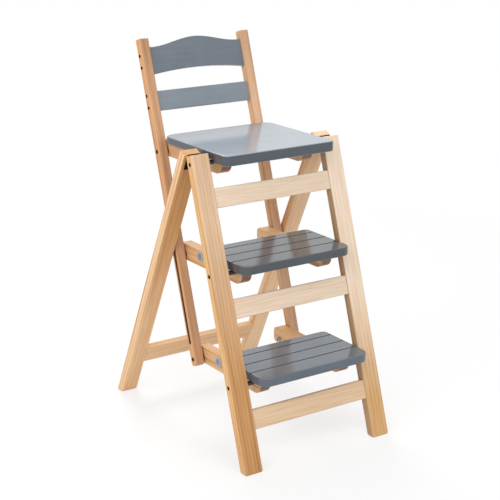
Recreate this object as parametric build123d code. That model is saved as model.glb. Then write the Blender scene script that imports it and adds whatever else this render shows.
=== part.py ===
from build123d import *
import os
from math import asin, atan2, cos, degrees, hypot, radians, sin, tan

os.makedirs("parts", exist_ok=True)

# A folding wooden step ladder that is also a chair: two front legs, two rear
# legs, two back posts, a seat and two steps that all tilt together.
# Sizes in mm. X runs to the right, Y to the rear, Z up; the floor is Z = 0.

# Overall stance
HALF_WIDTH = 210
LEAN = 17.7
REAR_FOOT_Y = 593.5
TIMBER_T = 22
EDGE_R = 2.5

# Front legs, rear legs and back posts
LEG_W = 48
LEG_TOP_Z = 704
REAR_LEG_W = 46
REAR_TOP_ABOVE_HINGE = 5
POST_W = 25
POST_TOP_Z = 928.4
POST_TAIL = 17
LEG_TO_POST = 4

# Pivots: the front ones lie on the leg's middle line, the rear ones on the post's
LOW_PIVOT_Z = 192.5
RISE = 246
REACH = 240
DROP = 20

# Seat and steps
BOARD_ABOVE_PIVOT = 7
BOARD_TO_LEG = 7
STEP_T = 21
STEP_OVERHANG = 62
STEP_REAR = 122
STEP_FRONT_R = 27
STEP_REAR_R = 14
SEAT_T = 18
SEAT_OVERHANG = 67
SEAT_REAR = 217
SEAT_FRONT_R = 15
SEAT_REAR_R = 30
SEAT_LIP = 7
LIP_TO_RAIL = 5
BOARD_EDGE_R = 3
GROOVE_W = 4
GROOVE_DEPTH = 3
GROOVE_FIRST = 54
GROOVE_PITCH = 49
GROOVE_COUNT = 3

# Side rails under the boards
RAIL_W = 27
RAIL_H = 40
RAIL_FRONT = 14
SEAT_RAIL_FRONT = 10
RAIL_REAR = 26
RAIL_FRONT_R = 26
RAIL_REAR_R = 12
POST_TO_RAIL = 4
PAD_R = 12
PAD_T = 3
PAD_BACK = 167
PAD_DOWN = 8

# Cross rails
CROSS_H = 46
CROSS_T = 18
CROSS_BELOW = 84
CROSS_INSET = 2
REAR_RAIL_H = 47
REAR_RAIL_Z = 116

# Back rails: heights and places as shares of the free height from seat to post top
BACK_RAIL_T = 16
CREST_RISE = 18.3
CREST_ARCH = 9.7
CREST_SHOULDER = 7
CREST_EDGE_R = 2
CREST_HIGH_SHARE = 0.312
CREST_DOWN_SHARE = 0.242
LOWER_BACK_HIGH_SHARE = 0.224
LOWER_BACK_DOWN_SHARE = 0.671
BACK_SCREW_SHARE = 0.1325

# Bolts, screws, dowels and hinges
BOLT_R = 3
HEAD_R = 5
HEAD_T = 6
HEAD_SUNK = 1
SOCKET_AF = 5
SOCKET_DEPTH = 3
SPACER_R = 5.5
WASHER_R = 8
NUT_AF = 10
NUT_T = 5
FLANGE_R = 6
FLANGE_T = 1.4
INSERT_R = 4.5
INSERT_L = 13
BUTTON_R = 6
BUTTON_T = 3.5
DOWEL_R = 4
DOWEL_HALF = 20
DOWEL_GAP = 24
BACK_SCREW_R = 2.5
BACK_HEAD_R = 4.5
BACK_HEAD_T = 3
BACK_HEAD_SUNK = 2
BACK_SCREW_BITE = 35
BOARD_SCREW_R = 2
BOARD_HEAD_R = 4
BOARD_HEAD_T = 3
BOARD_SCREW_BITE = 12
BOARD_SCREW_SUNK = 18
GUIDE_R = 4
GUIDE_SUNK = 25
SLOT_W = 9
SLOT_DEPTH = 9
SLOT_END_Z = 208
HINGE_OFFSET = 3.5
HINGE_BELOW_TOP = 3
HINGE_W = 30
LEAF_L = 42
LEAF_T = 1.5
KNUCKLE_R = 3
HINGE_PIN_R = 1.5
KNUCKLE_CLEAR = 4.5
LEAF_SCREW_R = 1.75
LEAF_SCREW_HEAD_R = 3.2
LEAF_SCREW_L = 15

# Clearances
RUNNING = 0.05
SIDE_PLAY = 0.3
HEAD_PLAY = 0.3
GUIDE_PLAY = 0.5

# Layers across the width, measured from the middle
LEG_INNER = HALF_WIDTH - LEG_W
REAR_INNER = HALF_WIDTH - REAR_LEG_W
POST_OUTER = LEG_INNER - LEG_TO_POST
POST_INNER = POST_OUTER - POST_W
RAIL_OUTER = POST_INNER - POST_TO_RAIL
RAIL_INNER = RAIL_OUTER - RAIL_W
BOARD_HALF = LEG_INNER - BOARD_TO_LEG


# The hinge line keeps the same distance to both legs' facing sides, which sets
# the rear legs' lean
def hinge_point():
    a = radians(LEAN)
    z = LEG_TOP_Z - HINGE_BELOW_TOP
    return ((TIMBER_T + HINGE_OFFSET) / cos(a) + z * tan(a), z)


HINGE = hinge_point()
FOOT_TO_HINGE = hypot(REAR_FOOT_Y - HINGE[0], HINGE[1])
REAR_LEAN = degrees(atan2(REAR_FOOT_Y - HINGE[0], HINGE[1]) - asin(HINGE_OFFSET / FOOT_TO_HINGE))
DEPTH = REAR_FOOT_Y + TIMBER_T / cos(radians(REAR_LEAN))


# Side view: points are (distance behind the front foot, height)
def side(x):
    return Plane(origin=(x, -DEPTH / 2, 0), x_dir=(0, 1, 0), z_dir=(1, 0, 0))


def slab(outline, x0, x1):
    return extrude(side(x0) * outline, x1 - x0)


def disc(center, radius):
    return Pos(*center) * Circle(radius)


def rod(center, radius, x0, x1):
    return slab(disc(center, radius), x0, x1)


def tube(center, radius, bore, x0, x1):
    return slab(disc(center, radius) - disc(center, bore), x0, x1)


def step_off(point, lean, up, back=0):
    """The point moved up a line leaning back by an angle, and square off its rear."""
    a = radians(lean)
    return (
        point[0] + up * sin(a) + back * cos(a),
        point[1] + up * cos(a) - back * sin(a),
    )


def outline(*points):
    return make_face(Polyline(*points, close=True))


def mirrored(part):
    return mirror(part, about=Plane.YZ)


def group(*shapes):
    return Compound([solid for shape in shapes for solid in shape.solids()])


def both_sides(*shapes):
    return group(*shapes, *[mirrored(shape) for shape in shapes])


def save(name, part):
    export_step(part, f"parts/{name}.step")


def ease(part, lean, radius):
    """Round the long edges that follow the lean, and the edges of the upper end."""
    a = radians(lean)
    way = Vector(0, sin(a), cos(a))
    long_edges = [e for e in part.edges() if abs((e % 0.5).dot(way)) > 0.999]
    top = part.faces().sort_by(Axis((0, 0, 0), tuple(way)))[-1]
    return fillet(long_edges + list(top.edges()), radius)


# Where the pivots are
LEG_MID = (TIMBER_T / 2 / cos(radians(LEAN)), 0)


def on_leg(z):
    return (LEG_MID[0] + z * tan(radians(LEAN)), z)


PIVOTS = [on_leg(LOW_PIVOT_Z + RISE * i) for i in range(3)]
REAR_PIVOTS = [(p[0] + REACH, p[1] - DROP) for p in PIVOTS]
LOW, MID, TOP = range(3)


def on_post(z):
    low = REAR_PIVOTS[LOW]
    return (low[0] + (z - low[1]) * tan(radians(LEAN)), z)


REAR_MID = (REAR_FOOT_Y + TIMBER_T / 2 / cos(radians(REAR_LEAN)), 0)


def on_rear_leg(z):
    return (REAR_MID[0] - z * tan(radians(REAR_LEAN)), z)


# The guide pin sits where the rear leg's and the post's middle lines cross
GUIDE_Z = (REAR_MID[0] - on_post(0)[0]) / (tan(radians(LEAN)) + tan(radians(REAR_LEAN)))
GUIDE = on_rear_leg(GUIDE_Z)


# Front legs: straight bars, feet cut level with the floor
def front_leg():
    front = (0, 0)
    rear = (TIMBER_T / cos(radians(LEAN)), 0)
    top = on_leg(LEG_TOP_Z)
    leg = slab(
        outline(
            front,
            rear,
            step_off(top, LEAN, 0, TIMBER_T / 2),
            step_off(top, LEAN, 0, -TIMBER_T / 2),
        ),
        LEG_INNER,
        HALF_WIDTH,
    )
    leg = ease(leg, LEAN, EDGE_R)
    for p in PIVOTS:
        leg -= rod(p, BOLT_R, LEG_INNER, HALF_WIDTH)
        leg -= rod(p, HEAD_R + HEAD_PLAY, HALF_WIDTH - HEAD_T - HEAD_SUNK, HALF_WIDTH)
    for p in front_dowel_points():
        leg -= rod(p, DOWEL_R, LEG_INNER, LEG_INNER + DOWEL_HALF)
    for screw in leaf_screws(LEAN, 1):
        leg -= screw
    return leg


# Front cross rails, one below each pivot, held by two dowels at each end
CROSS_BACK = CROSS_INSET + CROSS_T / 2 - TIMBER_T / 2


def cross_center(i):
    return step_off(PIVOTS[i], LEAN, -CROSS_BELOW, CROSS_BACK)


def front_dowel_points():
    return [
        step_off(cross_center(i), LEAN, s * DOWEL_GAP / 2)
        for i in range(3)
        for s in (-1, 1)
    ]


def bar_between(center, lean, height, thick, half):
    corners = [(-1, -1), (1, -1), (1, 1), (-1, 1)]
    section = outline(
        *[step_off(center, lean, u * height / 2, n * thick / 2) for u, n in corners]
    )
    bar = slab(section, -half, half)
    return fillet(bar.edges().filter_by(Axis.X), EDGE_R)


def dowelled(bar, points, half):
    for p in points:
        bar -= rod(p, DOWEL_R, half - DOWEL_HALF, half)
        bar -= rod(p, DOWEL_R, -half, DOWEL_HALF - half)
    return bar


def front_rail(i):
    bar = bar_between(cross_center(i), LEAN, CROSS_H, CROSS_T, LEG_INNER)
    return dowelled(bar, front_dowel_points()[2 * i:2 * i + 2], LEG_INNER)


def dowels(points, half):
    return both_sides(*[rod(p, DOWEL_R, half - DOWEL_HALF, half + DOWEL_HALF) for p in points])


# Pivot bolts: socket heads sunk in the outer face, nuts inside the side rail
def bolt(p, face, end):
    top = face - HEAD_SUNK
    under = top - HEAD_T
    part = rod(p, HEAD_R, under, top) + rod(p, BOLT_R, end, under)
    socket = Pos(*p) * RegularPolygon(SOCKET_AF / 2, 6, major_radius=False)
    return part - slab(socket, top - SOCKET_DEPTH, top)


NUT_FACE = RAIL_INNER - SIDE_PLAY
BOLT_END = NUT_FACE - FLANGE_T - NUT_T


def nut(p):
    hexagon = Pos(*p) * RegularPolygon(NUT_AF / 2, 6, major_radius=False)
    body = slab(hexagon, BOLT_END, NUT_FACE - FLANGE_T) + rod(p, FLANGE_R, NUT_FACE - FLANGE_T, NUT_FACE)
    return body - rod(p, BOLT_R, BOLT_END, NUT_FACE)


def spacer(p):
    return tube(p, SPACER_R, BOLT_R, RAIL_OUTER + SIDE_PLAY, LEG_INNER)


def washer(p):
    return tube(p, WASHER_R, BOLT_R, RAIL_OUTER + SIDE_PLAY, POST_INNER)


# Butt hinges: one leaf on each leg, knuckles round a common pin
HINGE_X = (LEG_INNER + HALF_WIDTH) / 2
KNUCKLE_L = HINGE_W / 3


def leaf_point(lean, facing, down, off):
    """A point of the leaf: down the leg from the hinge line, off toward the wood."""
    return step_off(HINGE, lean * facing, -down, -facing * off)


def leaf_screws(lean, facing):
    a = radians(lean)
    into = Vector(0, -facing * cos(a), sin(a))
    screws = []
    for down, shift in ((LEAF_L * 0.4, -HINGE_W / 4), (LEAF_L * 0.8, HINGE_W / 4)):
        y, z = leaf_point(lean, facing, down, HINGE_OFFSET - LEAF_T)
        plane = Plane(
            origin=(HINGE_X + shift, y - DEPTH / 2, z), x_dir=(1, 0, 0), z_dir=into
        )
        sink = LEAF_SCREW_HEAD_R - LEAF_SCREW_R
        head = Cone(LEAF_SCREW_HEAD_R, LEAF_SCREW_R, sink, align=(Align.CENTER, Align.CENTER, Align.MIN))
        shank = Cylinder(LEAF_SCREW_R, LEAF_SCREW_L, align=(Align.CENTER, Align.CENTER, Align.MIN))
        screws.append(plane * (head + shank))
    return screws


def leaf(lean, facing, spans, play):
    face = HINGE_OFFSET
    inner = HINGE_OFFSET - LEAF_T
    plate = slab(
        outline(
            leaf_point(lean, facing, KNUCKLE_CLEAR, inner),
            leaf_point(lean, facing, KNUCKLE_CLEAR, face),
            leaf_point(lean, facing, LEAF_L, face),
            leaf_point(lean, facing, LEAF_L, inner),
        ),
        HINGE_X - HINGE_W / 2,
        HINGE_X + HINGE_W / 2,
    )
    tongue = outline(
        leaf_point(lean, facing, 0, inner - LEAF_T / 2),
        leaf_point(lean, facing, 0, face - LEAF_T / 2),
        leaf_point(lean, facing, KNUCKLE_CLEAR, face),
        leaf_point(lean, facing, KNUCKLE_CLEAR, inner),
    )
    for x0, x1 in spans:
        plate += slab(tongue, x0, x1) + rod(HINGE, KNUCKLE_R, x0, x1)
    plate -= rod(HINGE, HINGE_PIN_R + play, HINGE_X - HINGE_W / 2, HINGE_X + HINGE_W / 2)
    for screw in leaf_screws(lean, facing):
        plate -= screw
    return plate


FRONT_SPANS = [(HINGE_X - KNUCKLE_L / 2 + SIDE_PLAY, HINGE_X + KNUCKLE_L / 2 - SIDE_PLAY)]
REAR_SPANS = [
    (HINGE_X - HINGE_W / 2, HINGE_X - KNUCKLE_L / 2),
    (HINGE_X + KNUCKLE_L / 2, HINGE_X + HINGE_W / 2),
]

leg = front_leg()
save("front_leg_right", leg)
save("front_leg_left", mirrored(leg))
for i, place in enumerate(("lower", "middle", "upper")):
    save(f"front_rail_{place}", front_rail(i))
save("front_rail_dowels", dowels(front_dowel_points(), LEG_INNER))
save("front_pivot_bolts", both_sides(*[bolt(p, HALF_WIDTH, BOLT_END) for p in PIVOTS]))
save("front_pivot_spacers", both_sides(*[spacer(p) for p in PIVOTS]))
save("front_pivot_nuts", both_sides(*[nut(p) for p in PIVOTS]))
save("hinge_front_leaves", both_sides(leaf(LEAN, 1, FRONT_SPANS, 0)))
save("hinge_pins", both_sides(rod(HINGE, HINGE_PIN_R, HINGE_X - HINGE_W / 2, HINGE_X + HINGE_W / 2)))
save("hinge_front_screws", both_sides(*leaf_screws(LEAN, 1)))


# Rear legs: bars leaning forward, with a guide pin on the inner face
REAR_RAIL_MID = step_off(on_rear_leg(REAR_RAIL_Z), -REAR_LEAN, 0, (CROSS_T - TIMBER_T) / 2)


def rear_dowel_points():
    return [step_off(REAR_RAIL_MID, -REAR_LEAN, s * DOWEL_GAP / 2) for s in (-1, 1)]


def rear_leg():
    top = on_rear_leg(HINGE[1] + REAR_TOP_ABOVE_HINGE)
    leg = slab(
        outline(
            (REAR_FOOT_Y, 0),
            (DEPTH, 0),
            step_off(top, -REAR_LEAN, 0, TIMBER_T / 2),
            step_off(top, -REAR_LEAN, 0, -TIMBER_T / 2),
        ),
        REAR_INNER,
        HALF_WIDTH,
    )
    leg = ease(leg, -REAR_LEAN, EDGE_R)
    leg -= rod(GUIDE, GUIDE_R, REAR_INNER, REAR_INNER + GUIDE_SUNK)
    for p in rear_dowel_points():
        leg -= rod(p, DOWEL_R, REAR_INNER, REAR_INNER + DOWEL_HALF)
    for screw in leaf_screws(REAR_LEAN, -1):
        leg -= screw
    return leg


leg = rear_leg()
save("rear_leg_right", leg)
save("rear_leg_left", mirrored(leg))
bar = bar_between(REAR_RAIL_MID, -REAR_LEAN, REAR_RAIL_H, CROSS_T, REAR_INNER)
save("rear_rail", dowelled(bar, rear_dowel_points(), REAR_INNER))
save("rear_rail_dowels", dowels(rear_dowel_points(), REAR_INNER))
save("guide_pins", both_sides(rod(GUIDE, GUIDE_R, POST_OUTER + GUIDE_PLAY, REAR_INNER + GUIDE_SUNK)))
save("hinge_rear_leaves", both_sides(leaf(REAR_LEAN, -1, REAR_SPANS, RUNNING)))
save("hinge_rear_screws", both_sides(*leaf_screws(REAR_LEAN, -1)))


# Seat and steps: a board screwed down on two side rails
def board_plan(i, front, rear, front_r, rear_r):
    y0 = PIVOTS[i][0] - front - DEPTH / 2
    y1 = PIVOTS[i][0] + rear - DEPTH / 2
    plan = Pos(0, (y0 + y1) / 2) * Rectangle(2 * BOARD_HALF, y1 - y0)
    plan = fillet(plan.vertices().group_by(Axis.Y)[0], front_r)
    return fillet(plan.vertices().group_by(Axis.Y)[-1], rear_r)


def board(i, plan, thick):
    part = extrude(Pos(0, 0, PIVOTS[i][1] + BOARD_ABOVE_PIVOT) * plan, thick)
    rims = part.faces().sort_by(Axis.Z)
    return fillet(rims[-1].edges() + rims[0].edges(), BOARD_EDGE_R)


# A strip under the seat's front edge makes it look thicker and stiffens it
def seat_lip(plan):
    reach = SEAT_OVERHANG - SEAT_RAIL_FRONT - LIP_TO_RAIL
    front = PIVOTS[TOP][0] - SEAT_OVERHANG - DEPTH / 2
    strip = plan & Pos(0, front + reach / 2) * Rectangle(4 * BOARD_HALF, reach)
    low = PIVOTS[TOP][1] + BOARD_ABOVE_PIVOT - SEAT_LIP
    lip = extrude(Pos(0, 0, low) * strip, SEAT_LIP + BOARD_EDGE_R)
    return fillet(lip.faces().sort_by(Axis.Z)[0].edges(), BOARD_EDGE_R)


def grooved(part):
    box = part.bounding_box()
    for k in range(GROOVE_COUNT):
        y = box.min.Y + GROOVE_FIRST + k * GROOVE_PITCH
        cut = Box(4 * BOARD_HALF, GROOVE_W, 2 * GROOVE_DEPTH)
        part -= Pos(0, y, box.max.Z) * cut
    return part


def side_rail(i, front):
    p = PIVOTS[i]
    q = REAR_PIVOTS[i]
    top = p[1] + BOARD_ABOVE_PIVOT
    y0 = p[0] - front
    y1 = q[0] + RAIL_REAR
    shape = outline((y0, top - RAIL_H), (y1, top - RAIL_H), (y1, top), (y0, top))
    rear = shape.vertices().group_by(Axis.X)[-1]
    shape = fillet(rear, RAIL_REAR_R)
    corner = shape.vertices().sort_by(Axis.X)[:2].sort_by(Axis.Y)[0]
    shape = fillet(corner, RAIL_FRONT_R)
    shape -= disc(p, BOLT_R + RUNNING)
    shape -= disc(q, BOLT_R + RUNNING)
    return slab(shape, RAIL_INNER, RAIL_OUTER)


def board_screw(i, back):
    x = (RAIL_INNER + RAIL_OUTER) / 2
    under = PIVOTS[i][1] + BOARD_ABOVE_PIVOT - RAIL_H
    place = Pos(x, PIVOTS[i][0] + back - DEPTH / 2, under + BOARD_SCREW_SUNK)
    low = (Align.CENTER, Align.CENTER, Align.MIN)
    length = RAIL_H - BOARD_SCREW_SUNK + BOARD_SCREW_BITE
    screw = Cylinder(BOARD_HEAD_R, BOARD_HEAD_T, align=low) + Cylinder(BOARD_SCREW_R, length, align=low)
    bore = Cylinder(BOARD_HEAD_R, BOARD_SCREW_SUNK, align=(Align.CENTER, Align.CENTER, Align.MAX))
    return place * screw, place * bore


def tread(name, i, top, rail, screw_backs):
    screws = []
    for back in screw_backs:
        screw, bore = board_screw(i, back)
        rail -= screw + bore
        top -= screw + mirrored(screw)
        screws.append(screw)
    save(f"{name}_board", top)
    save(f"{name}_rail_right", rail)
    save(f"{name}_rail_left", mirrored(rail))
    save(f"{name}_screws", both_sides(*screws))


def pads(i):
    p = PIVOTS[i]
    place = (p[0] + PAD_BACK, p[1] - PAD_DOWN)
    pad = rod(place, PAD_R, RAIL_OUTER, RAIL_OUTER + PAD_T)
    pad = fillet(pad.edges().group_by(Axis.X)[-1], PAD_T / 3)
    return both_sides(pad)


STEP_SCREWS = [STEP_REAR * k for k in (0.25, 0.75)]
SEAT_SCREWS = [SEAT_REAR * k for k in (0.2, 0.5, 0.8)]
seat_plan = board_plan(TOP, SEAT_OVERHANG, SEAT_REAR, SEAT_FRONT_R, SEAT_REAR_R)
seat_board = board(TOP, seat_plan, SEAT_T) + seat_lip(seat_plan)
tread("seat", TOP, seat_board, side_rail(TOP, SEAT_RAIL_FRONT), SEAT_SCREWS)
for name, i in (("upper_step", MID), ("lower_step", LOW)):
    step_plan = board_plan(i, STEP_OVERHANG, STEP_REAR, STEP_FRONT_R, STEP_REAR_R)
    step_board = grooved(board(i, step_plan, STEP_T))
    tread(name, i, step_board, side_rail(i, RAIL_FRONT), STEP_SCREWS)
save("upper_step_pads", pads(MID))
save("lower_step_pads", pads(LOW))


# Back posts: parallel to the front legs, slotted on the outer face for the guide pin
BACK_FREE = POST_TOP_Z - PIVOTS[TOP][1] - BOARD_ABOVE_PIVOT - SEAT_T
CREST_Z = POST_TOP_Z - CREST_DOWN_SHARE * BACK_FREE
LOWER_BACK_Z = POST_TOP_Z - LOWER_BACK_DOWN_SHARE * BACK_FREE
BACK_SCREW_GAP = BACK_SCREW_SHARE * BACK_FREE
BACK_RAILS = [on_post(CREST_Z), on_post(LOWER_BACK_Z)]
BACK_RAIL_OFF = (TIMBER_T - BACK_RAIL_T) / 2


def back_screw_points():
    return [
        step_off(p, LEAN, s * BACK_SCREW_GAP / 2, BACK_RAIL_OFF)
        for p in BACK_RAILS
        for s in (-1, 1)
    ]


def back_screw(p):
    top = POST_OUTER - BACK_HEAD_SUNK
    head = rod(p, BACK_HEAD_R, top - BACK_HEAD_T, top)
    screw = head + rod(p, BACK_SCREW_R, POST_INNER - BACK_SCREW_BITE, top)
    socket = Pos(*p) * RegularPolygon(SOCKET_AF / 2, 6, major_radius=False)
    return screw - slab(socket, top - BACK_HEAD_T / 2, top)


def back_post():
    end = step_off(REAR_PIVOTS[LOW], LEAN, -POST_TAIL)
    top = on_post(POST_TOP_Z)
    corners = [(end, -1), (end, 1), (top, 1), (top, -1)]
    shape = outline(*[step_off(p, LEAN, 0, n * TIMBER_T / 2) for p, n in corners])
    shape = fillet(shape.vertices().sort_by(Axis.Y)[:2], TIMBER_T * 0.4)
    post = ease(slab(shape, POST_INNER, POST_OUTER), LEAN, EDGE_R)
    slot_end = on_post(SLOT_END_Z + SLOT_W / 2)
    length = hypot(GUIDE[0] - slot_end[0], GUIDE[1] - slot_end[1])
    mid = ((GUIDE[0] + slot_end[0]) / 2, (GUIDE[1] + slot_end[1]) / 2)
    turn = degrees(atan2(GUIDE[1] - slot_end[1], GUIDE[0] - slot_end[0]))
    slot = Pos(*mid) * Rot(0, 0, turn) * SlotCenterToCenter(length, SLOT_W)
    post -= slab(slot, POST_OUTER - SLOT_DEPTH, POST_OUTER)
    for p in (REAR_PIVOTS[LOW], REAR_PIVOTS[TOP]):
        post -= rod(p, BOLT_R, POST_INNER, POST_OUTER)
        post -= rod(p, HEAD_R + HEAD_PLAY, POST_OUTER - HEAD_T - HEAD_SUNK, POST_OUTER)
    post -= rod(REAR_PIVOTS[MID], INSERT_R, POST_INNER, POST_INNER + INSERT_L)
    for p in back_screw_points():
        post -= rod(p, BACK_SCREW_R, POST_INNER, POST_OUTER)
        post -= rod(p, BACK_HEAD_R, POST_OUTER - BACK_HEAD_SUNK - BACK_HEAD_T, POST_OUTER)
    return post


# Crest rail: a board with a low hump in the middle; lower rail: a plain bar
def back_plane(z):
    y = step_off(on_post(z), LEAN, 0, BACK_RAIL_OFF)
    a = radians(LEAN)
    return Plane(origin=(0, y[0] - DEPTH / 2, y[1]), x_dir=(1, 0, 0), z_dir=(0, -cos(a), sin(a)))


def crest_rail():
    half = CREST_HIGH_SHARE * BACK_FREE / 2
    end = POST_INNER
    shoulder = end - CREST_SHOULDER
    middle = (shoulder / 2, half + CREST_RISE / 2)
    with BuildSketch() as face:
        with BuildLine():
            Polyline((-end, half), (-end, -half))
            ThreePointArc((-end, -half), (0, CREST_ARCH - half), (end, -half))
            Polyline((end, -half), (end, half), (shoulder, half))
            Spline(
                (shoulder, half),
                middle,
                (0, half + CREST_RISE),
                (-middle[0], middle[1]),
                (-shoulder, half),
                tangents=[(-1, 0), (-1, 0)],
            )
            Line((-shoulder, half), (-end, half))
        make_face()
    plane = back_plane(CREST_Z)
    rail = extrude(plane * face.sketch, BACK_RAIL_T / 2, both=True)
    sides = rail.faces().sort_by(Axis(plane.origin, plane.z_dir))
    rims = sides[0].edges() + sides[-1].edges()
    return fillet([e for e in rims if abs(e.center().X) < end - CREST_SHOULDER], CREST_EDGE_R)


def lower_back_rail():
    face = back_plane(LOWER_BACK_Z) * Rectangle(2 * POST_INNER, LOWER_BACK_HIGH_SHARE * BACK_FREE)
    bar = extrude(face, BACK_RAIL_T / 2, both=True)
    return fillet(bar.edges().filter_by(Axis.X), EDGE_R)


def mid_bolt(p):
    head = rod(p, BUTTON_R, NUT_FACE - BUTTON_T, NUT_FACE)
    head = fillet(head.edges().group_by(Axis.X)[0], BUTTON_T / 2)
    return head + rod(p, BOLT_R, NUT_FACE, POST_INNER + INSERT_L)


post = back_post()
screws = [back_screw(p) for p in back_screw_points()]
crest = crest_rail()
lower_back = lower_back_rail()
for screw in screws[:2]:
    crest -= screw + mirrored(screw)
for screw in screws[2:]:
    lower_back -= screw + mirrored(screw)
save("back_post_right", post)
save("back_post_left", mirrored(post))
save("crest_rail", crest)
save("lower_back_rail", lower_back)
save("back_rail_screws", both_sides(*screws))
OUTER_PIVOTS = (REAR_PIVOTS[LOW], REAR_PIVOTS[TOP])
save("rear_pivot_bolts", both_sides(*[bolt(p, POST_OUTER, BOLT_END) for p in OUTER_PIVOTS]))
save("rear_pivot_nuts", both_sides(*[nut(p) for p in OUTER_PIVOTS]))
save("mid_pivot_bolts", both_sides(mid_bolt(REAR_PIVOTS[MID])))
insert = tube(REAR_PIVOTS[MID], INSERT_R, BOLT_R, POST_INNER, POST_INNER + INSERT_L)
save("mid_pivot_inserts", both_sides(insert))
save("rear_pivot_washers", both_sides(*[washer(p) for p in REAR_PIVOTS]))
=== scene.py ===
"""A folding step-ladder chair: lacquered pine frame, grey painted treads, seat and back rails."""
import math

import bmesh
import bpy
from mathutils import Euler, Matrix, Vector


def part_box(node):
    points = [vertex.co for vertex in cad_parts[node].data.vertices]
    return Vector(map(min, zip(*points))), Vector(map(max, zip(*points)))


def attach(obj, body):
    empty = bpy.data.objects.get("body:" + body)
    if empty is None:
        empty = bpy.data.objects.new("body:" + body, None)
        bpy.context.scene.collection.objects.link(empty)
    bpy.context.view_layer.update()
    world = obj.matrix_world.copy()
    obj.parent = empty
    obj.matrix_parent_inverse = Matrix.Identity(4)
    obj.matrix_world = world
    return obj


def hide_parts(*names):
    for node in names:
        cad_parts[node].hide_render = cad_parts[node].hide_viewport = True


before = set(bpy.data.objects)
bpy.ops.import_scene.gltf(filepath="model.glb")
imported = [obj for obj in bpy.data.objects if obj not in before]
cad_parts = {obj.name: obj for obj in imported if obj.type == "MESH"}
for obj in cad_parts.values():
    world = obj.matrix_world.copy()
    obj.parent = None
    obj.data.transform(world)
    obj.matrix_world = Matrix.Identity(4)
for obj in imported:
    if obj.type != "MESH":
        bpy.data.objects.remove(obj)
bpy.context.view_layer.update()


# Front frame: two legs that lean back, with level feet, and three cross rails between them.
# Planed pine with eased edges, the rails dowelled and glued, all under a clear matt lacquer.
# Pine shows the eye a pale early wood, narrow honey-brown late wood lines and fine long fibres.
LEG_LEAN = math.radians(17.7)
TURN_TO_LEG = (LEG_LEAN, 0, 0)
TURN_TO_WIDTH = (0, math.radians(-90), 0)


def linear(hex_colour):
    """An sRGB hex colour as linear red, green, blue and alpha."""
    channels = [int(hex_colour[i:i + 2], 16) / 255 for i in (1, 3, 5)]
    return [c / 12.92 if c <= 0.04045 else ((c + 0.055) / 1.055) ** 2.4 for c in channels] + [1.0]


def add(tree, kind, inputs=None, stops=(), **settings):
    """Adds one node, gives it its settings and colour stops, and sets or links its inputs."""
    node = tree.nodes.new(kind)
    for name, value in settings.items():
        setattr(node, name, value)
    for extra in stops[2:]:
        node.color_ramp.elements.new(extra[0])
    for index, (position, colour) in enumerate(stops):
        node.color_ramp.elements[index].position = position
        node.color_ramp.elements[index].color = linear(colour)
    for socket, value in (inputs or {}).items():
        if isinstance(value, bpy.types.NodeSocket):
            tree.links.new(value, node.inputs[socket])
        else:
            node.inputs[socket].default_value = value
    return node


def blank(name):
    """A new material, with its node tree and its shader."""
    material = bpy.data.materials.new(name)
    material.use_nodes = True
    tree = material.node_tree
    shader = tree.nodes["Principled BSDF"]
    return material, tree, shader


def dress(material, *nodes):
    """Gives CAD pieces their finish in place of the plain one."""
    for name in nodes:
        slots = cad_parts[name].data.materials
        slots.clear()
        slots.append(material)


# A colour Mix node has its factor in socket 0, its two colours in 6 and 7, and its result in 2.
FACTOR, UNDER, OVER, MIXED = 0, 6, 7, 2

# Growth rings and fibres are drawn about three times coarser than in real pine, so that they show.
RING_SPACING = 0.0095
FIBRE_WIDTH = 0.0028
FIBRE_LENGTH = 0.110
BAND_WIDTH = 0.014
BAND_LENGTH = 0.450
WANDER = 0.016
EASED_EDGE = 0.0025
FRONT_SHARE = 0.55
FINE_FRONT_SHARE = 0.8
STREAK_SHARE = 0.45
EDGE_HIGHLIGHT_SHARE = 0.5
GROOVE_REACH = 0.012

# Fronts darken towards one end: the tint, the height where it is full and the height where it ends. On the
# front legs the darker lower fronts are painted shade towards the floor.
LEFT_FOOT_SHADE = ("#E2C79C", 0.20, 0.56)
RIGHT_FOOT_SHADE = ("#E6CB9A", 0.09, 0.36)


def edge_highlight_mask(tree, radius, strength):
    """A mask that rises along the eased edges, where a painted highlight lightens them."""
    soft = add(tree, "ShaderNodeBevel", {"Radius": radius}, samples=4).outputs["Normal"]
    true = add(tree, "ShaderNodeNewGeometry").outputs["Normal"]
    level = add(tree, "ShaderNodeVectorMath", {0: soft, 1: true},
                operation="DOT_PRODUCT").outputs["Value"]
    return add(tree, "ShaderNodeMapRange", {"Value": level, "From Min": 0.80, "From Max": 0.98,
                                            "To Min": strength, "To Max": 0.0}).outputs["Result"]


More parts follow.
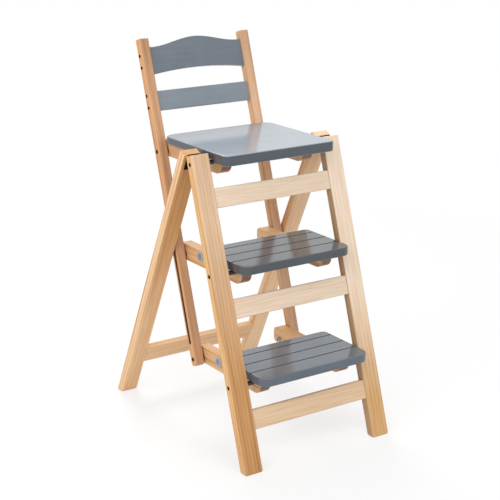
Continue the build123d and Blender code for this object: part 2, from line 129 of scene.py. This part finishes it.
def pine(name, turn, pith, early, late, edge_highlight, front, share=FRONT_SHARE, deeper=None, end_shade=None,
         groove_shade=None):
    """Lacquered pine: growth rings round a pith line, bands, fibres, a separate front tone and a painted
    highlight along the edges.
    """
    material, tree, shader = blank(name)
    place = add(tree, "ShaderNodeTexCoord")
    grain = add(tree, "ShaderNodeMapping",
                {"Vector": place.outputs["Object"], "Rotation": turn, "Location": pith}).outputs["Vector"]
    slow = add(tree, "ShaderNodeMapping",
               {"Vector": grain, "Scale": (1, 1, BAND_WIDTH / BAND_LENGTH)}).outputs["Vector"]
    drift = add(tree, "ShaderNodeTexNoise", {"Vector": slow, "Scale": 0.35 / BAND_WIDTH, "Detail": 2.0})
    bands = add(tree, "ShaderNodeTexNoise", {"Vector": slow, "Scale": 1 / BAND_WIDTH, "Detail": 3.0,
                                             "Roughness": 0.55}).outputs["Fac"]
    bent = add(tree, "ShaderNodeVectorMath", {0: drift.outputs["Color"], 1: (WANDER, WANDER, 0), 2: grain},
               operation="MULTIPLY_ADD").outputs["Vector"]
    rings = add(tree, "ShaderNodeTexWave",
                {"Vector": bent, "Scale": math.pi / 10 / RING_SPACING, "Distortion": 0.0},
                wave_type="RINGS", rings_direction="Z", wave_profile="SAW").outputs["Fac"]
    along = add(tree, "ShaderNodeMapping",
                {"Vector": grain, "Scale": (1, 1, FIBRE_WIDTH / FIBRE_LENGTH)}).outputs["Vector"]
    fibres = add(tree, "ShaderNodeTexNoise", {"Vector": along, "Scale": 1 / FIBRE_WIDTH, "Detail": 3.0,
                                              "Roughness": 0.6}).outputs["Fac"]
    line = add(tree, "ShaderNodeMapRange",
               {"Value": rings, "From Min": 0.45, "From Max": 0.95}).outputs["Result"]
    patch = add(tree, "ShaderNodeMapRange", {"Value": bands, "From Min": 0.38, "From Max": 0.66,
                                             "To Min": 0.10, "To Max": 0.90}).outputs["Result"]
    line = add(tree, "ShaderNodeMath", {0: line, 1: patch}, operation="MULTIPLY").outputs["Value"]
    tone = add(tree, "ShaderNodeValToRGB", {"Fac": bands},
               stops=[(0.30, early), (0.50, early), (0.78, late)]).outputs["Color"]
    flank = add(tree, "ShaderNodeSeparateXYZ", {"Vector": place.outputs["Normal"]}).outputs["X"]
    flank = add(tree, "ShaderNodeMath", {0: flank}, operation="ABSOLUTE").outputs["Value"]
    # Faces that don't face sideways take the front tone; on the rear legs this pale tone is painted light.
    front_tone = add(tree, "ShaderNodeMapRange", {"Value": flank, "From Min": 0.3, "From Max": 0.9,
                                              "To Min": share, "To Max": 0.0}).outputs["Result"]
    wood = add(tree, "ShaderNodeMix", {FACTOR: line, UNDER: tone, OVER: linear(late)},
               data_type="RGBA").outputs[MIXED]
    wood = add(tree, "ShaderNodeMix", {FACTOR: front_tone, UNDER: wood, OVER: linear(front)},
               data_type="RGBA").outputs[MIXED]
    streak = add(tree, "ShaderNodeValToRGB", {"Fac": fibres},
                 stops=[(0.32, "#DCC6A8"), (0.58, "#FFFFFF")]).outputs["Color"]
    wood = add(tree, "ShaderNodeMix", {FACTOR: STREAK_SHARE, UNDER: wood, OVER: streak}, data_type="RGBA",
               blend_type="MULTIPLY").outputs[MIXED]
    if deeper:
        height = add(tree, "ShaderNodeSeparateXYZ", {"Vector": place.outputs["Object"]}).outputs["Z"]
        tint, full_z, clear_z = deeper
        deep = add(tree, "ShaderNodeMapRange", {"Value": height, "From Min": full_z, "From Max": clear_z,
                                                "To Min": 1 / share, "To Max": 0.0}).outputs["Result"]
        deep = add(tree, "ShaderNodeMath", {0: deep, 1: front_tone}, operation="MULTIPLY").outputs["Value"]
        lines = add(tree, "ShaderNodeMath", {0: deep, 1: line}, operation="MULTIPLY").outputs["Value"]
        for mask in (deep, lines):
            wood = add(tree, "ShaderNodeMix", {FACTOR: mask, UNDER: wood, OVER: linear(tint)},
                       data_type="RGBA", blend_type="MULTIPLY").outputs[MIXED]
    # The eased edges are lightened: a painted highlight.
    highlight_share = edge_highlight_mask(tree, EASED_EDGE, EDGE_HIGHLIGHT_SHARE)
    wood = add(tree, "ShaderNodeMix", {FACTOR: highlight_share, UNDER: wood, OVER: linear(edge_highlight)},
               data_type="RGBA").outputs[MIXED]
    # Faces across the grain take the end colour: painted shade.
    if end_shade:
        end_shade_mask = add(tree, "ShaderNodeMapping", {"Vector": place.outputs["Normal"], "Rotation": turn},
                  vector_type="NORMAL").outputs["Vector"]
        end_shade_mask = add(tree, "ShaderNodeSeparateXYZ", {"Vector": end_shade_mask}).outputs["Z"]
        end_shade_mask = add(tree, "ShaderNodeMath", {0: end_shade_mask}, operation="ABSOLUTE").outputs["Value"]
        end_shade_mask = add(tree, "ShaderNodeMapRange",
                  {"Value": end_shade_mask, "From Min": 0.35, "From Max": 0.80}).outputs["Result"]
        wood = add(tree, "ShaderNodeMix", {FACTOR: end_shade_mask, UNDER: wood, OVER: linear(end_shade)},
                   data_type="RGBA").outputs[MIXED]
    # Enclosed hollows are darkened by ambient occlusion: painted shade.
    if groove_shade:
        hollow_shade_mask = add(tree, "ShaderNodeAmbientOcclusion", {"Distance": GROOVE_REACH}, samples=8,
                     only_local=True).outputs["AO"]
        hollow_shade_mask = add(tree, "ShaderNodeMapRange", {"Value": hollow_shade_mask, "From Min": 0.50, "From Max": 0.85,
                                                  "To Min": 1.0, "To Max": 0.0}).outputs["Result"]
        wood = add(tree, "ShaderNodeMix", {FACTOR: hollow_shade_mask, UNDER: wood, OVER: linear(groove_shade)},
                   data_type="RGBA").outputs[MIXED]
    tree.links.new(wood, shader.inputs["Base Color"])
    rough = add(tree, "ShaderNodeMapRange", {"Value": fibres, "To Min": 0.40, "To Max": 0.56})
    tree.links.new(rough.outputs["Result"], shader.inputs["Roughness"])
    shader.inputs["IOR"].default_value = 1.5
    relief = add(tree, "ShaderNodeBump", {"Height": fibres, "Strength": 0.25, "Distance": 0.0004})
    tree.links.new(relief.outputs["Normal"], shader.inputs["Normal"])
    return material


FOOT_EASE_IN = 0.002
FOOT_EASE_UP = 0.003
WELD = 1e-5
CREASE = math.radians(30)


def ease_foot(name, node, body, material):
    """A leg after its CAD piece, with the sharp edges of its foot planed off, that stands for it."""
    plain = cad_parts[node].data
    mesh = bpy.data.meshes.new(name)
    points = [point.co for point in plain.vertices]
    mesh.from_pydata(points, [], [face.vertices for face in plain.polygons])
    work = bmesh.new()
    work.from_mesh(mesh)
    bmesh.ops.remove_doubles(work, verts=work.verts, dist=WELD)
    bmesh.ops.bisect_plane(work, geom=work.verts[:] + work.edges[:] + work.faces[:], dist=WELD,
                           plane_co=(0, 0, FOOT_EASE_UP), plane_no=(0, 0, 1))
    sole = [point for point in work.verts if abs(point.co.z) < WELD]
    for axis in (0, 1):
        low = min(point.co[axis] for point in sole)
        high = max(point.co[axis] for point in sole)
        shrink = 1 - 2 * FOOT_EASE_IN / (high - low)
        for point in sole:
            point.co[axis] = (low + high) / 2 + (point.co[axis] - (low + high) / 2) * shrink
    work.to_mesh(mesh)
    work.free()
    mesh.shade_smooth()
    mesh.set_sharp_from_angle(angle=CREASE)
    mesh.materials.append(material)
    leg = bpy.data.objects.new(name, mesh)
    bpy.context.scene.collection.objects.link(leg)
    leg.modifiers.new("flat_faces_stay_flat", "WEIGHTED_NORMAL").keep_sharp = True
    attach(leg, body)
    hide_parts(node)


left_pine = pine("pine_lacquered_left_leg", TURN_TO_LEG, (0.245, 0.300, 0), early="#E6B67A",
                 late="#BE8747", edge_highlight="#E6C8A4", front="#DBC6B2", deeper=LEFT_FOOT_SHADE)
ease_foot("front_leg_left_eased", "front_leg_left", "front_frame", left_pine)
# The right leg's flanks are much darker than the left's: painted shade on its inner face, in the shadow of
# the treads.
right_pine = pine("pine_lacquered_right_leg", TURN_TO_LEG, (-0.245, 0.310, 0.2), early="#B5926C",
                  late="#9E7848", edge_highlight="#DCC0A0", front="#FBE7D2", share=FINE_FRONT_SHARE,
                  deeper=RIGHT_FOOT_SHADE)
ease_foot("front_leg_right_eased", "front_leg_right", "front_frame", right_pine)
dress(pine("pine_lacquered_cross_rails", TURN_TO_WIDTH, (0.13, 0.21, 0.4), early="#E6CEB4", late="#D6B290",
           edge_highlight="#EEDBC6", front="#E8D3BD", share=FINE_FRONT_SHARE),
      "front_rail_upper", "front_rail_middle")
dress(pine("pine_lacquered_lowest_rail", TURN_TO_WIDTH, (0.11, 0.24, 0.9), early="#E0BE98", late="#CFA273",
           edge_highlight="#EBD0AE", front="#E2C5A3", share=FINE_FRONT_SHARE), "front_rail_lower")


# Rear frame: two legs that lean forward and one low cross rail.
# The same lacquered pine, cut nearer the heart of the tree and so more orange.
REAR_LEAN = math.radians(-25.8)
TURN_TO_REAR_LEG = (REAR_LEAN, 0, 0)
# The left rear leg darkens towards its top: painted shade between the legs and under the seat.
REAR_TOP_SHADE = ("#E4D1B5", 0.52, 0.22)

# Both rear legs have pale fronts, the right one paler still and without a darker top: painted light where
# the seat and steps shade them.
for side, front, deeper in (("left", "#F8D0A2", REAR_TOP_SHADE), ("right", "#FCDCB6", None)):
    rear_pine = pine("pine_lacquered_rear_leg_" + side, TURN_TO_REAR_LEG, (0.250, -0.180, 0),
                     early="#F4CC9E", late="#C48540", edge_highlight="#EDC99E", front=front, deeper=deeper)
    ease_foot("rear_leg_" + side + "_eased", "rear_leg_" + side, "rear_frame", rear_pine)
dress(pine("pine_lacquered_rear_rail", TURN_TO_WIDTH, (0.05, -0.21, 0.1), early="#EEC292", late="#D89C5F",
           edge_highlight="#F0CFA6", front="#F0CAA0"), "rear_rail")


# Dowels: fluted beech pegs, glued into both pieces, wholly inside the joints.
# Beech shows pale pinkish brown with short dark flecks.
FLECK_WIDTH = 0.0011
FLECK_LENGTH = 0.0055


def beech(name):
    """Bare beech: pale, with short dark flecks along the peg."""
    material, tree, shader = blank(name)
    place = add(tree, "ShaderNodeTexCoord").outputs["Object"]
    fleck = add(tree, "ShaderNodeMapping", {"Vector": place, "Scale": (FLECK_WIDTH / FLECK_LENGTH, 1, 1)})
    fleck = add(tree, "ShaderNodeTexNoise", {"Vector": fleck.outputs["Vector"], "Scale": 1 / FLECK_WIDTH,
                                             "Detail": 2.0}).outputs["Fac"]
    tone = add(tree, "ShaderNodeValToRGB", {"Fac": fleck}, stops=[(0.35, "#B98E64"), (0.6, "#D6B48C")])
    tree.links.new(tone.outputs["Color"], shader.inputs["Base Color"])
    shader.inputs["Roughness"].default_value = 0.6
    return material


dress(beech("beech_bare_dowels"), "front_rail_dowels", "rear_rail_dowels")


# Side rails: two thick pine bars under the seat and under each step, rounded at their ends.
# They carry the pivots and are screwed to the boards from below.
# Their grain runs from front to back, honey-brown on the sides, with the ends darkened red-brown as
# painted shade under the boards.
TURN_TO_DEPTH = (math.radians(90), 0, 0)

dress(pine("pine_lacquered_side_rails", TURN_TO_DEPTH, (0.20, 0.35, 0.1), early="#E4BA8C", late="#C48848",
           edge_highlight="#EBC698", front="#DFAE74", end_shade="#8A6650"),
      "seat_rail_left", "seat_rail_right", "upper_step_rail_left", "upper_step_rail_right",
      "lower_step_rail_left", "lower_step_rail_right")


# Seat, steps and back rails: pine boards with rounded edges, sprayed with grey satin paint.
# Satin paint shows a clear sheen that mirrors the wood near it, faint orange peel and the grain under it.
# The peel and the grain are drawn about twice as coarse as in real paint, so that they show.
PEEL = 0.0035
MOTTLE = 0.0625
GRAIN_WIDTH = 0.0045
GRAIN_LENGTH = 0.120
ROUNDED_EDGE = 0.003
GRAIN_SHARE = 0.35
PAINT_HIGHLIGHT_SHARE = 0.25


def satin_paint(name, colour, deep, edge_highlight_paint, side=None):
    """Sprayed satin paint over pine: soft mottling, faint grain, sides darkened as painted shade, edges
    lightened as a painted highlight.
    """
    material, tree, shader = blank(name)
    place = add(tree, "ShaderNodeTexCoord").outputs["Object"]
    across = add(tree, "ShaderNodeMapping",
                 {"Vector": place, "Scale": (GRAIN_WIDTH / GRAIN_LENGTH, 1, 1)}).outputs["Vector"]
    grain = add(tree, "ShaderNodeTexNoise",
                {"Vector": across, "Scale": 1 / GRAIN_WIDTH, "Detail": 3.0}).outputs["Fac"]
    peel = add(tree, "ShaderNodeTexNoise",
               {"Vector": place, "Scale": 1 / PEEL, "Detail": 1.0}).outputs["Fac"]
    mottle = add(tree, "ShaderNodeTexNoise",
                 {"Vector": place, "Scale": 1 / MOTTLE, "Detail": 4.0}).outputs["Fac"]
    paint = add(tree, "ShaderNodeValToRGB", {"Fac": mottle},
                stops=[(0.30, deep), (0.70, colour)]).outputs["Color"]
    shade = add(tree, "ShaderNodeValToRGB", {"Fac": grain},
                stops=[(0.30, "#DCDCDC"), (0.62, "#FFFFFF")]).outputs["Color"]
    paint = add(tree, "ShaderNodeMix", {FACTOR: GRAIN_SHARE, UNDER: paint, OVER: shade}, data_type="RGBA",
                blend_type="MULTIPLY").outputs[MIXED]
    # Faces that don't face up or down are multiplied darker by the side colour: painted shade.
    if side:
        side_shade_mask = add(tree, "ShaderNodeTexCoord").outputs["Normal"]
        side_shade_mask = add(tree, "ShaderNodeSeparateXYZ", {"Vector": side_shade_mask}).outputs["Z"]
        side_shade_mask = add(tree, "ShaderNodeMath", {0: side_shade_mask}, operation="ABSOLUTE").outputs["Value"]
        side_shade_mask = add(tree, "ShaderNodeMapRange", {"Value": side_shade_mask, "From Min": 0.35, "From Max": 0.85,
                                                  "To Min": 1.0, "To Max": 0.0}).outputs["Result"]
        paint = add(tree, "ShaderNodeMix", {FACTOR: side_shade_mask, UNDER: paint, OVER: linear(side)},
                    data_type="RGBA", blend_type="MULTIPLY").outputs[MIXED]
    # Rounded edges are lightened: a painted highlight.
    paint_highlight_share = edge_highlight_mask(tree, ROUNDED_EDGE, PAINT_HIGHLIGHT_SHARE)
    paint = add(tree, "ShaderNodeMix", {FACTOR: paint_highlight_share, UNDER: paint, OVER: linear(edge_highlight_paint)},
                data_type="RGBA").outputs[MIXED]
    tree.links.new(paint, shader.inputs["Base Color"])
    rough = add(tree, "ShaderNodeMapRange", {"Value": mottle, "To Min": 0.60, "To Max": 0.72})
    tree.links.new(rough.outputs["Result"], shader.inputs["Roughness"])
    shader.inputs["IOR"].default_value = 1.5
    shader.inputs["Coat Weight"].default_value = 1.0
    shader.inputs["Coat Roughness"].default_value = 0.14
    skin = add(tree, "ShaderNodeBump", {"Height": peel, "Strength": 0.04, "Distance": 0.0002})
    under = add(tree, "ShaderNodeBump", {"Height": grain, "Strength": 0.06, "Distance": 0.0002,
                                         "Normal": skin.outputs["Normal"]})
    tree.links.new(under.outputs["Normal"], shader.inputs["Normal"])
    return material


# One grey paint, written lighter or darker piece by piece: the seat and the lower back rail paler as
# painted light,
# the steps darker as painted shade, and each board's sides darkened by its own amount of painted shade.
dress(satin_paint("satin_grey_paint_on_seat", "#8C97A2", "#848F9A", "#98A2AC", side="#6F757B"),
      "seat_board")
dress(satin_paint("satin_grey_paint_on_upper_step", "#4B545C", "#434C54", "#59626A", side="#BEC3C6"),
      "upper_step_board")
dress(satin_paint("satin_grey_paint_on_lower_step", "#58636E", "#505B66", "#66717C", side="#E6ECF2"),
      "lower_step_board")
dress(satin_paint("satin_grey_paint_on_crest", "#656F79", "#5C6670", "#727C86"), "crest_rail")
dress(satin_paint("satin_grey_paint_on_lower_rail", "#7F8A93", "#76818A", "#8A949D"), "lower_back_rail")


# Pads: round grey rubber stops, moulded, glued to the side rails where the legs close on them.
# Rubber shows a dull even grey; the paler rim round the rounded edge is a painted highlight.
# The spacers and washers are black nylon. Grit is drawn coarser than real, so that it shows.
GRIT = 0.0008
DUST_PATCH = 0.011
RIM_FROM = 0.62
RIM_TO = 0.86


def moulded(name, colour, dusty, roughness, rim_highlight=None, disc=None):
    """Moulded rubber or plastic: even colour, fine grit, a little dust, and on a pad a paler rim, a
    painted highlight.
    """
    material, tree, shader = blank(name)
    place = add(tree, "ShaderNodeTexCoord").outputs["Object"]
    grit = add(tree, "ShaderNodeTexNoise",
               {"Vector": place, "Scale": 1 / GRIT, "Detail": 2.0}).outputs["Fac"]
    dust = add(tree, "ShaderNodeTexNoise", {"Vector": place, "Scale": 1 / DUST_PATCH, "Detail": 3.0})
    tone = add(tree, "ShaderNodeValToRGB", {"Fac": dust.outputs["Fac"]},
               stops=[(0.35, colour), (0.75, dusty)]).outputs["Color"]
    if rim_highlight:
        low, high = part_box(disc)
        middle = [(a + b) / 2 for a, b in zip(low, high)]
        radius = (high[2] - low[2]) / 2
        out = add(tree, "ShaderNodeVectorMath", {0: place, 1: middle},
                  operation="SUBTRACT").outputs["Vector"]
        out = add(tree, "ShaderNodeVectorMath", {0: out, 1: (0, 1, 1)},
                  operation="MULTIPLY").outputs["Vector"]
        out = add(tree, "ShaderNodeVectorMath", {0: out}, operation="LENGTH").outputs["Value"]
        out = add(tree, "ShaderNodeMapRange", {"Value": out, "From Min": RIM_FROM * radius,
                                               "From Max": RIM_TO * radius}).outputs["Result"]
        tone = add(tree, "ShaderNodeMix", {FACTOR: out, UNDER: tone, OVER: linear(rim_highlight)},
                   data_type="RGBA").outputs[MIXED]
    tree.links.new(tone, shader.inputs["Base Color"])
    shader.inputs["Roughness"].default_value = roughness
    relief = add(tree, "ShaderNodeBump", {"Height": grit, "Strength": 0.2, "Distance": 0.0002})
    tree.links.new(relief.outputs["Normal"], shader.inputs["Normal"])
    return material


for pads in ("upper_step_pads", "lower_step_pads"):
    dress(moulded("grey_rubber_" + pads, "#7E8088", "#8E9099", 0.42, rim_highlight="#B2B4BC", disc=pads), pads)
dress(moulded("black_nylon_moulded", "#232326", "#323236", 0.50),
      "front_pivot_spacers", "rear_pivot_washers")


# Backrest posts: two long pine bars that run from the lower step up past the crest rail.
# Reddish pine, planed, with a long groove in each outer face for the guide pins.
# The groove and the sunk holes are darkened nearly black where they are enclosed: painted shade.
GROOVE_SHADE = "#3F2112"
POST_DEEPER = ("#E4DED6", 0.90, 0.76)

# The left post's front is written darker and the right post's paler: painted shade and painted light on
# one wood.
dress(pine("pine_lacquered_left_post", TURN_TO_LEG, (0.200, 0.160, 0.3), early="#DEA873", late="#AE6C3A",
           edge_highlight="#DDB592", front="#C6A084", deeper=POST_DEEPER, groove_shade=GROOVE_SHADE), "back_post_left")
dress(pine("pine_lacquered_right_post", TURN_TO_LEG, (-0.190, 0.150, 0.5), early="#DFB084", late="#B57843",
           edge_highlight="#E8C8A8", front="#E4C2A6", deeper=POST_DEEPER, groove_shade=GROOVE_SHADE), "back_post_right")


# Bolts, screws, nuts and hinges: steel, turned or pressed.
# Bronzed heads show a brown that is nearly black; on the hinge leaves that near-black is painted shade for
# the dark gap between the leg tops.
# Zinc plate shows a pale cool grey with a slight cloudy bloom, drawn coarser than real.
BLOOM = 0.003
ROUGHNESS_SPREAD = 0.08


def plated_steel(name, colour, bloom, roughness):
    """Plated steel: metal with a cloudy bloom in its colour and its polish."""
    material, tree, shader = blank(name)
    place = add(tree, "ShaderNodeTexCoord").outputs["Object"]
    cloud = add(tree, "ShaderNodeTexNoise",
                {"Vector": place, "Scale": 1 / BLOOM, "Detail": 4.0}).outputs["Fac"]
    tone = add(tree, "ShaderNodeValToRGB", {"Fac": cloud}, stops=[(0.35, colour), (0.70, bloom)])
    tree.links.new(tone.outputs["Color"], shader.inputs["Base Color"])
    rough = add(tree, "ShaderNodeMapRange", {"Value": cloud, "To Min": roughness - ROUGHNESS_SPREAD,
                                             "To Max": roughness + ROUGHNESS_SPREAD})
    tree.links.new(rough.outputs["Result"], shader.inputs["Roughness"])
    shader.inputs["Metallic"].default_value = 1.0
    return material


dress(plated_steel("steel_bronzed_and_painted_shade", "#2A211B", "#3B3029", 0.45),
      "front_pivot_bolts", "rear_pivot_bolts", "mid_pivot_bolts", "back_rail_screws", "hinge_front_leaves",
      "hinge_rear_leaves", "hinge_pins", "hinge_front_screws", "hinge_rear_screws")
dress(plated_steel("steel_zinc_plated", "#A9ABAE", "#C3C5C7", 0.35),
      "front_pivot_nuts", "rear_pivot_nuts", "mid_pivot_inserts", "guide_pins", "seat_screws",
      "upper_step_screws", "lower_step_screws")


# Studio: a plain white paper floor under soft light, and the camera of the product picture.
# The paper shows an even matt white, keeps a faint shadow near the feet and fades to white further out.
FLOOR_HALF = 20.0
FADE_FROM = 0.9
FADE_TO = 2.2
SHADOW_SHARE = 0.35
AMBIENT = 0.55


def shown(tree):
    """A mask of the rays that show the background: to the camera, in gloss or through something clear."""
    path = add(tree, "ShaderNodeLightPath").outputs
    rays = add(tree, "ShaderNodeMath", {0: path["Is Camera Ray"], 1: path["Is Glossy Ray"]},
               operation="MAXIMUM").outputs["Value"]
    return add(tree, "ShaderNodeMath", {0: rays, 1: path["Is Transmission Ray"]},
               operation="MAXIMUM").outputs["Value"]


corners = [(-FLOOR_HALF, -FLOOR_HALF, 0), (FLOOR_HALF, -FLOOR_HALF, 0), (FLOOR_HALF, FLOOR_HALF, 0),
           (-FLOOR_HALF, FLOOR_HALF, 0)]
floor_mesh = bpy.data.meshes.new("studio_floor")
floor_mesh.from_pydata(corners, [], [(0, 1, 2, 3)])
floor = bpy.data.objects.new("studio_floor", floor_mesh)
bpy.context.scene.collection.objects.link(floor)

paper = bpy.data.materials.new("white_paper_matt")
paper.use_nodes = True
tree = paper.node_tree
tree.nodes.clear()
place = add(tree, "ShaderNodeTexCoord").outputs["Object"]
distance = add(tree, "ShaderNodeVectorMath", {0: place}, operation="LENGTH").outputs["Value"]
fade = add(tree, "ShaderNodeMapRange", {"Value": distance, "From Min": FADE_FROM, "From Max": FADE_TO,
                                        "To Min": 1 - SHADOW_SHARE, "To Max": 1.0}).outputs["Result"]
seen = shown(tree)
share = add(tree, "ShaderNodeMath", {0: fade, 1: seen}, operation="MULTIPLY").outputs["Value"]
tint = add(tree, "ShaderNodeMix", {FACTOR: seen, UNDER: linear("#E8E8E8"), OVER: linear("#F6F6F6")},
           data_type="RGBA").outputs[MIXED]
matt = add(tree, "ShaderNodeBsdfDiffuse", {"Color": tint})
white = add(tree, "ShaderNodeEmission", {"Color": linear("#FFFFFF"), "Strength": 1.0})
mixed = add(tree, "ShaderNodeMixShader",
            {0: share, 1: matt.outputs["BSDF"], 2: white.outputs["Emission"]})
add(tree, "ShaderNodeOutputMaterial", {"Surface": mixed.outputs["Shader"]})
floor_mesh.materials.append(paper)

world = bpy.data.worlds.new("studio")
bpy.context.scene.world = world
world.use_nodes = True
tree = world.node_tree
tree.nodes.clear()
level = add(tree, "ShaderNodeMapRange", {"Value": shown(tree), "To Min": AMBIENT, "To Max": 1.0})
sky = add(tree, "ShaderNodeBackground", {"Color": linear("#FFFFFF"), "Strength": level.outputs["Result"]})
add(tree, "ShaderNodeOutputWorld", {"Surface": sky.outputs["Background"]})


def soft_box(name, place, aim, size, power):
    """A square area lamp at a place, turned towards a point."""
    lamp = bpy.data.lights.new(name, "AREA")
    lamp.size = size
    lamp.energy = power
    lamp_object = bpy.data.objects.new(name, lamp)
    lamp_object.location = place
    lamp_object.rotation_euler = (Vector(aim) - Vector(place)).to_track_quat("-Z", "Y").to_euler()
    bpy.context.scene.collection.objects.link(lamp_object)


soft_box("key_left", (-2.60, -1.10, 2.30), aim=(0, 0, 0.45), size=2.8, power=50)
soft_box("fill_front", (-0.40, -2.60, 2.70), aim=(0, 0, 0.45), size=2.8, power=40)
soft_box("back_high", (0.50, 1.90, 2.60), aim=(0, 0.10, 0.70), size=1.4, power=42)

CAMERA_PLACE = (-1.6955, -2.5443, 1.3552)
CAMERA_DOWN = math.radians(16.87)
CAMERA_TURN = math.radians(-33.8)

camera = bpy.data.cameras.new("photo_camera")
camera.sensor_width = 36.0
camera.lens = 93.5
camera_object = bpy.data.objects.new("photo_camera", camera)
camera_object.location = CAMERA_PLACE
camera_object.rotation_euler = Euler((math.pi / 2 - CAMERA_DOWN, 0, CAMERA_TURN))
bpy.context.scene.collection.objects.link(camera_object)
bpy.context.scene.camera = camera_object
bpy.context.scene.view_settings.view_transform = "Standard"
